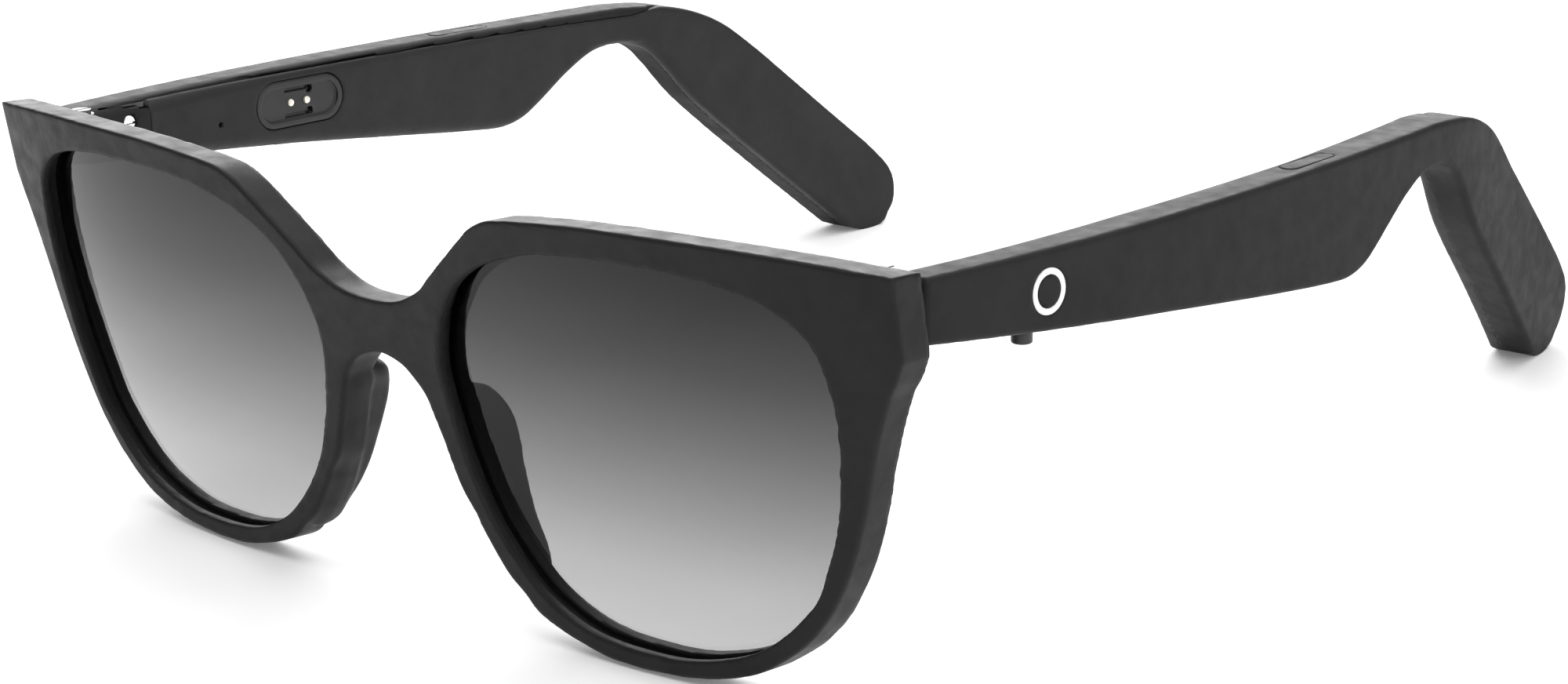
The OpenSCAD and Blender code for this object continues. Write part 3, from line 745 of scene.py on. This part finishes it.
def lathe(profile, n=48):
    """Points and quads of a profile [radius, height] turned about the z axis."""
    a = np.linspace(0, 2 * math.pi, n, endpoint=False)
    v, f = [], []
    m = len(profile)
    for r, h in profile:
        for t in a:
            v.append((r * math.cos(t), r * math.sin(t), h))
    for i in range(m - 1):
        for j in range(n):
            k = (j + 1) % n
            f.append((i * n + j, i * n + k, (i + 1) * n + k, (i + 1) * n + j))
    for i, flip in ((0, True), (m - 1, False)):
        if profile[i][0] > 1e-6:
            face = tuple(i * n + j for j in range(n))
            f.append(face[::-1] if flip else face)
    return np.array(v), f


def rounded(r, low, high, edge, n=5):
    """Profile of a pin with rounded ends."""
    arc = [math.pi / 2 * i / n for i in range(n + 1)]
    p = [(r - edge + edge * math.sin(t), low + edge - edge * math.cos(t)) for t in arc]
    return p + [(r - edge + edge * math.cos(t), high - edge + edge * math.sin(t)) for t in arc]


def turned(profile, place, about="z", n=48):
    """A turned piece in the temple's frame. about x: heights run towards the head."""
    v, f = lathe(profile, n)
    if about == "x":
        v = np.stack([-v[:, 2], v[:, 0], -v[:, 1]], 1)
    return v + np.array(place), f, None


def torus(place, radius, half_w, height, tilt, n=64):
    """A flat ring with rounded edges, facing outwards."""
    prof = []
    for i in range(12):
        t = 2 * math.pi * i / 12
        c, s = math.cos(t), math.sin(t)
        prof.append((radius + half_w * np.sign(c) * abs(c) ** 0.5, height * np.sign(s) * abs(s) ** 0.5))
    v, f = [], []
    for j in range(n):
        a = 2 * math.pi * j / n
        for r, h in prof:
            v.append((h, r * math.cos(a), r * math.sin(a)))
    m = len(prof)
    for j in range(n):
        for i in range(m):
            k, l = (i + 1) % m, (j + 1) % n
            f.append((j * m + i, l * m + i, l * m + k, j * m + k))
    v = np.array(v)
    c, s = math.cos(tilt), math.sin(tilt)
    v = np.stack([v[:, 0] * c + v[:, 1] * s, -v[:, 0] * s + v[:, 1] * c, v[:, 2]], 1)
    return v + np.array(place), f, None


def touch_strip(x, y, z):
    """The touch pad, flush with the upper edge."""
    return both(both(touch_pill(x, y), z - TOP, 0.12), TOUCH_LOW - z, 0.05)


touch_mesh = contour(touch_strip, (2.8, 63.2, 2.2), (6.6, 74.6, 3.9), FINE)
emblem_out, emblem_slope = bow(np.array(EMBLEM_Y))
ring_mesh = torus((float(emblem_out) - 0.12, EMBLEM_Y, EMBLEM_Z), EMBLEM_R, 0.36, 0.14,
                  math.atan(float(emblem_slope)))


def contact_pins():
    """The port's two pins as one mesh."""
    pin = rounded(0.5, -5.1, -2.5, 0.16)
    (v0, f0, _), (v1, f1, _) = [turned(pin, (0, PORT[0] + d, PORT[1]), "x") for d in (-1.4, 1.4)]
    return np.concatenate([v0, v1]), f0 + [tuple(i + len(v0) for i in q) for q in f1], None


def push_button():
    """A knob with a flange that keeps it in the temple."""
    knob = [(0.0, BUTTON_END)] + rounded(BUTTON_R, BUTTON_END, -4.05, 0.25)[1:-1]
    knob += [(BUTTON_R, FLANGE_LOW), (FLANGE_R, FLANGE_LOW), (FLANGE_R, FLANGE_HIGH), (0, FLANGE_HIGH)]
    return turned(knob, (*BUTTON, 0))


for side, sign in SIDES:
    body = f"temple_{side}"
    ob = temple_piece(f"temple_body_{side}", shell_mesh, sign)
    finish_piece(ob, "temple", body, "temple", f"temple_shell_{side}")
    ob = temple_piece(f"temple_lid_{side}", cover_mesh, sign)
    finish_piece(ob, "cover", body, "temple", f"inner_cover_{side}")
    ob = temple_piece(f"port_dish_{side}", port_mesh, sign)
    finish_piece(ob, "port", body, "port", f"charge_port_{side}")
    ob = temple_piece(f"touch_strip_{side}", touch_mesh, sign)
    finish_piece(ob, "temple", body, "touch_pad", f"touch_pad_{side}")
    ob = temple_piece(f"emblem_ring_{side}", ring_mesh, sign)
    finish_piece(ob, "emblem", body, "emblem", f"emblem_{side}")
    ob = temple_piece(f"contact_pins_{side}", contact_pins(), sign)
    finish_piece(ob, "contact", body, "contact", f"charge_contacts_{side}")
    ob = temple_piece(f"push_button_{side}", push_button(), sign)
    ob.data.set_sharp_from_angle(angle=math.radians(50))
    finish_piece(ob, "button", f"button_{side}", "button", f"power_button_{side}")

# ---- CAD nodes shown as they are ----
CARRIED = {
    "front_hinge_leaf": "steel", "temple_hinge_leaf": "steel", "front_leaf_screws": "chrome",
    "pivot_screw": "steel", "temple_leaf_screw": "chrome", "circuit_board": "board", "battery": "foil",
    "battery_flex": "film", "speaker": "speaker", "microphone": "nickel", "charge_magnets": "nickel",
    "button_switch": "moulded",
}
for name, mat in CARRIED.items():
    for side, _ in SIDES:
        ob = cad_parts[f"{name}_{side}"]
        ob.data.materials.clear()
        ob.data.materials.append(MATS[mat])


# ---- floor, light and camera ----
def floor_material():
    """Pale matt paint that glows a little."""
    mat = bpy.data.materials.new("floor_paint")
    nt, out = nodes_of(mat)
    b = nt.nodes.new("ShaderNodeBsdfDiffuse")
    b.inputs["Color"].default_value = (0.93, 0.93, 0.93, 1)
    lift = nt.nodes.new("ShaderNodeEmission")      # lightens the contact shadows
    lift.inputs["Strength"].default_value = 0.14
    total = nt.nodes.new("ShaderNodeAddShader")
    nt.links.new(b.outputs["BSDF"], total.inputs[0])
    nt.links.new(lift.outputs["Emission"], total.inputs[1])
    nt.links.new(total.outputs["Shader"], out.inputs["Surface"])
    return mat


HALF, FLOOR_Z = 2400, -0.1    # half the floor's width and its height, in millimetres
corners = [(-HALF, -HALF, FLOOR_Z), (HALF, -HALF, FLOOR_Z), (HALF, HALF, FLOOR_Z), (-HALF, HALF, FLOOR_Z)]
floor = make_mesh("floor", corners, [(0, 1, 2, 3)])
floor.data.materials.append(floor_material())


def area_light(name, place, target, size_x, size_y, power):
    """A soft box in metres and watts that looks at target."""
    data = bpy.data.lights.new(name, "AREA")
    data.shape = "RECTANGLE"
    data.size, data.size_y, data.energy = size_x, size_y, power
    ob = bpy.data.objects.new(name, data)
    bpy.context.scene.collection.objects.link(ob)
    ob.location = place
    ob.rotation_mode = "QUATERNION"
    ob.rotation_quaternion = (Vector(target) - Vector(place)).to_track_quat("-Z", "Y")


area_light("top_light", (0.0, 0.1, 1.6), (0, 0, 0), 2.6, 2.6, 38)
area_light("back_light", (-1.5, 1.6, 0.9), (0, 0, 0.02), 2.4, 1.6, 62)
area_light("side_light", (2.2, -0.3, 1.0), (0, 0, 0.02), 1.6, 1.4, 20)
WORLD_LIGHT, BACKDROP = 0.22, 1.0    # what the world gives to the glasses, and how bright it looks itself


def background(nt, strength):
    """A white background's output."""
    bg = nt.nodes.new("ShaderNodeBackground")
    bg.inputs["Color"].default_value = (1, 1, 1, 1)
    bg.inputs["Strength"].default_value = strength
    return bg.outputs["Background"]


world = bpy.data.worlds.new("studio")
bpy.context.scene.world = world
wt, world_out = nodes_of(world, "ShaderNodeOutputWorld")
path = wt.nodes.new("ShaderNodeLightPath")
mix = wt.nodes.new("ShaderNodeMixShader")
wt.links.new(path.outputs["Is Camera Ray"], mix.inputs["Fac"])
wt.links.new(background(wt, WORLD_LIGHT), mix.inputs[1])
wt.links.new(background(wt, BACKDROP), mix.inputs[2])
wt.links.new(mix.outputs["Shader"], world_out.inputs["Surface"])
bpy.context.scene.view_settings.view_transform = "Standard"

cam_data = bpy.data.cameras.new("camera")
cam_data.lens = 76.5
cam_data.sensor_width = 36
cam_data.clip_start, cam_data.clip_end = 0.01, 50
cam = bpy.data.objects.new("camera", cam_data)
bpy.context.scene.collection.objects.link(cam)
# the camera's own axes and its place, in metres
right, up, back = (0.74766, 0.66195, -0.05326), (-0.16512, 0.26298, 0.95057), (0.64323, -0.70190, 0.30592)
place = (0.27418, -0.30913, 0.14389)
cam.matrix_world = Matrix([[right[i], up[i], back[i], place[i]] for i in range(3)] + [[0, 0, 0, 1]])
bpy.context.scene.camera = cam
